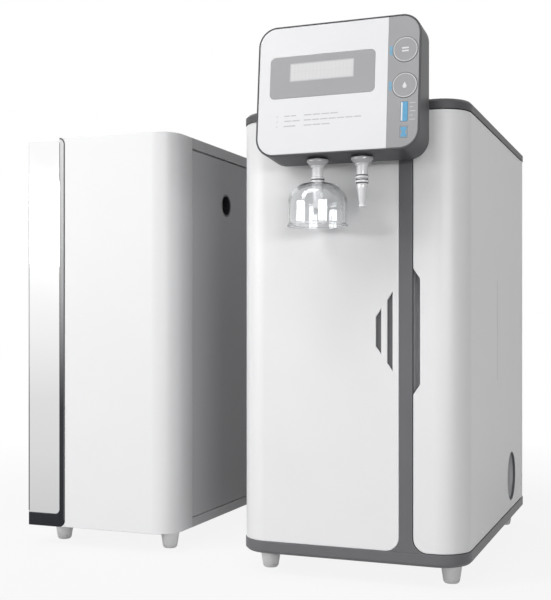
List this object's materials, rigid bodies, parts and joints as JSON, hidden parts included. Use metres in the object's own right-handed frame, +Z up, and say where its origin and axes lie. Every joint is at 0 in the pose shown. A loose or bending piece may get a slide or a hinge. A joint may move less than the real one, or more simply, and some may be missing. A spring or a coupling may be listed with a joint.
{
  "type": "ultrapure water system",
  "caption": "Two-cabinet ultrapure water system: dispensing cabinet with tilted control head, bell and barbed outlets, hinged side cover, and a pretreatment cabinet.",
  "frame": {"origin": "on the bench, at the centre of the box round both cabinets and the bell", "axes": "+Z up, +X to the right seen from the front, -Y out of the cabinets' fronts"},
  "size_m": [0.5566, 0.5494, 0.5824],
  "materials": {
    "white_shell": "smooth satin white",
    "grey_trim": "fine matte grey",
    "dark_housing": "fine matte dark grey",
    "mid_grey_panel": "smooth satin grey",
    "white_face": "smooth white",
    "display_glass": "smooth grey window",
    "blue_light": "clear blue",
    "pale_foot": "matte pale grey",
    "outlet_white": "satin off-white",
    "clear_bell": "clear",
    "mirror": "polished mirror",
    "gloss_black": "gloss black",
    "black_plastic": "matte black",
    "steel": "brushed steel",
    "board_green": "green board",
    "lcd": "pale display",
    "lamp_glass": "clear",
    "cartridge_blue": "satin blue",
    "tube_white": "satin white",
    "motor_grey": "satin painted"
  },
  "bodies": {
    "system": {"main_base_pan": "grey_trim", "main_feet": "pale_foot", "main_left_shell": "white_shell", "main_mullion": "grey_trim", "main_back_panel": "white_shell", "main_top_lid": "grey_trim", "main_divider": "steel", "hinge_pins": "steel", "cover_magnet": "black_plastic", "head_housing": "dark_housing", "head_back_plate": "dark_housing", "face_plate": "white_face", "button_panel": "mid_grey_panel", "display_window": "display_glass", "lcd_module": "lcd", "head_board": "board_green", "status_lights": "blue_light", "head_bracket": "dark_housing", "bell_nozzle": "outlet_white", "barb_nozzle": "outlet_white", "cartridge_rack": "steel", "polishing_cartridge_1": "cartridge_blue", "polishing_cartridge_2": "cartridge_blue", "ro_housing": "white_shell", "uv_chamber": "steel", "uv_lamp": "lamp_glass", "pump_motor": "motor_grey", "pump_head": "black_plastic", "pump_mount": "steel", "valve_body": "black_plastic", "power_supply": "steel", "control_board": "board_green", "internal_tubing": "tube_white", "rear_ports": "black_plastic", "power_inlet": "black_plastic", "left_base_pan": "white_shell", "left_feet": "pale_foot", "left_front_shell": "white_shell", "left_rear_shell": "white_shell", "left_side_panel": "white_shell", "left_top_cap": "white_shell", "strip_carrier": "gloss_black", "mirror_strip": "mirror", "side_port_ring": "black_plastic", "prefilter_bracket": "steel", "sediment_filter": "white_shell", "carbon_filter": "black_plastic", "softener_filter": "cartridge_blue", "storage_tank": "tube_white", "tank_cap": "cartridge_blue"},
    "side_cover": {"side_cover": "white_shell", "side_cover_cup": "grey_trim", "cover_striker": "steel"},
    "button_upper": {"button_upper": "mid_grey_panel"},
    "button_lower": {"button_lower": "mid_grey_panel"},
    "bell_filter": {"bell_stem": "outlet_white", "bell_cover": "clear_bell"},
    "pump_rotor": {"pump_rotor": "steel"},
    "valve_plunger": {"valve_plunger": "steel"},
    "power_rocker": {"power_rocker": "black_plastic"}
  },
  "joints": [
    {"name": "side_cover_hinge", "type": "hinge", "parent": "system", "child": "side_cover", "pos_m": [0.27415, 0.1803, 0.2663], "axis": [0, 0, 1], "range_deg": [0, 90]},
    {"name": "button_upper_press", "type": "slide", "parent": "system", "child": "button_upper", "axis": [0, 0.9957, -0.0924], "range_m": [0, 0.0012], "stiffness_N_per_m": 400},
    {"name": "button_lower_press", "type": "slide", "parent": "system", "child": "button_lower", "axis": [0, 0.9957, -0.0924], "range_m": [0, 0.0012], "stiffness_N_per_m": 400},
    {"name": "bell_pull", "type": "slide", "parent": "system", "child": "bell_filter", "axis": [0, 0, -1], "range_m": [0, 0.013]},
    {"name": "pump_spin", "type": "hinge", "parent": "system", "child": "pump_rotor", "pos_m": [0.09025, -0.0503, 0.0725], "axis": [0, 1, 0], "continuous": true},
    {"name": "valve_lift", "type": "slide", "parent": "system", "child": "valve_plunger", "axis": [0, 0, 1], "range_m": [0, 0.003], "stiffness_N_per_m": 300, "springref_m": -0.002},
    {"name": "rocker_tip", "type": "hinge", "parent": "system", "child": "power_rocker", "pos_m": [0.21425, 0.2264, 0.0955], "axis": [1, 0, 0], "range_deg": [-20, 0]}
  ]
}
